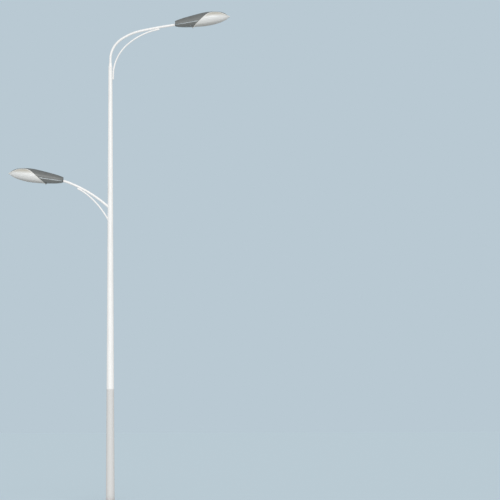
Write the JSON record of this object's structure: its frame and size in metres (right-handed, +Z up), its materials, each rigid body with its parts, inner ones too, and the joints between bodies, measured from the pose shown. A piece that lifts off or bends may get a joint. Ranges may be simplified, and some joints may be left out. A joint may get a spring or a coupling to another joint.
{
  "type": "double-arm street light",
  "caption": "Tall tapered steel street light with a long upper and a shorter lower curved arm, each braced and carrying a drop-shaped luminaire with a hinged glass bowl.",
  "frame": {"origin": "centre of the base plate's underside, at ground level", "axes": "+Z up the pole, +X along the long upper arm towards the road, +Y away from the viewer, towards the access door"},
  "size_m": [4.5231, 0.4, 9.9991],
  "materials": {
    "white_paint": "glossy powder coat",
    "galvanised_steel": "hot-dip galvanised",
    "housing_grey": "satin grey coat on cast aluminium",
    "cast_alloy": "as cast",
    "rim_enamel": "white stove enamel",
    "seal_rubber": "matte",
    "bowl_glass": "pale prismatic glass",
    "pin_steel": "bright stainless",
    "reflector_alloy": "bright anodised",
    "holder_ceramic": "glazed",
    "lamp_glass": "clear tube"
  },
  "bodies": {
    "root": {"base_plate": "galvanised_steel", "pole_door_section": "white_paint", "pole_shaft": "white_paint", "door_frame": "galvanised_steel", "access_door": "white_paint", "pole_top_collar": "white_paint", "upper_arm": "white_paint", "upper_brace": "white_paint", "lower_arm": "white_paint", "lower_brace": "white_paint", "upper_canopy": "housing_grey", "upper_tail_pan": "housing_grey", "upper_spigot_clamp": "cast_alloy", "upper_gasket": "seal_rubber", "upper_reflector": "reflector_alloy", "upper_lampholder": "holder_ceramic", "upper_lamp": "lamp_glass", "upper_hinge_pin": "pin_steel", "lower_canopy": "housing_grey", "lower_tail_pan": "housing_grey", "lower_spigot_clamp": "cast_alloy", "lower_gasket": "seal_rubber", "lower_reflector": "reflector_alloy", "lower_lampholder": "holder_ceramic", "lower_lamp": "lamp_glass", "lower_hinge_pin": "pin_steel"},
    "upper_bowl_door": {"upper_bowl_frame": "rim_enamel", "upper_bowl": "bowl_glass", "upper_nose_latch": "rim_enamel"},
    "lower_bowl_door": {"lower_bowl_frame": "rim_enamel", "lower_bowl": "bowl_glass", "lower_nose_latch": "rim_enamel"}
  },
  "joints": [
    {"name": "upper_bowl_hinge", "type": "hinge", "parent": "root", "child": "upper_bowl_door", "pos_m": [1.68701, 0, 9.67386], "axis": [0, 1, 0], "range_deg": [0, 80]},
    {"name": "lower_bowl_hinge", "type": "hinge", "parent": "root", "child": "lower_bowl_door", "pos_m": [-1.32439, 0, 6.48027], "axis": [0, -1, 0], "range_deg": [0, 80]}
  ]
}
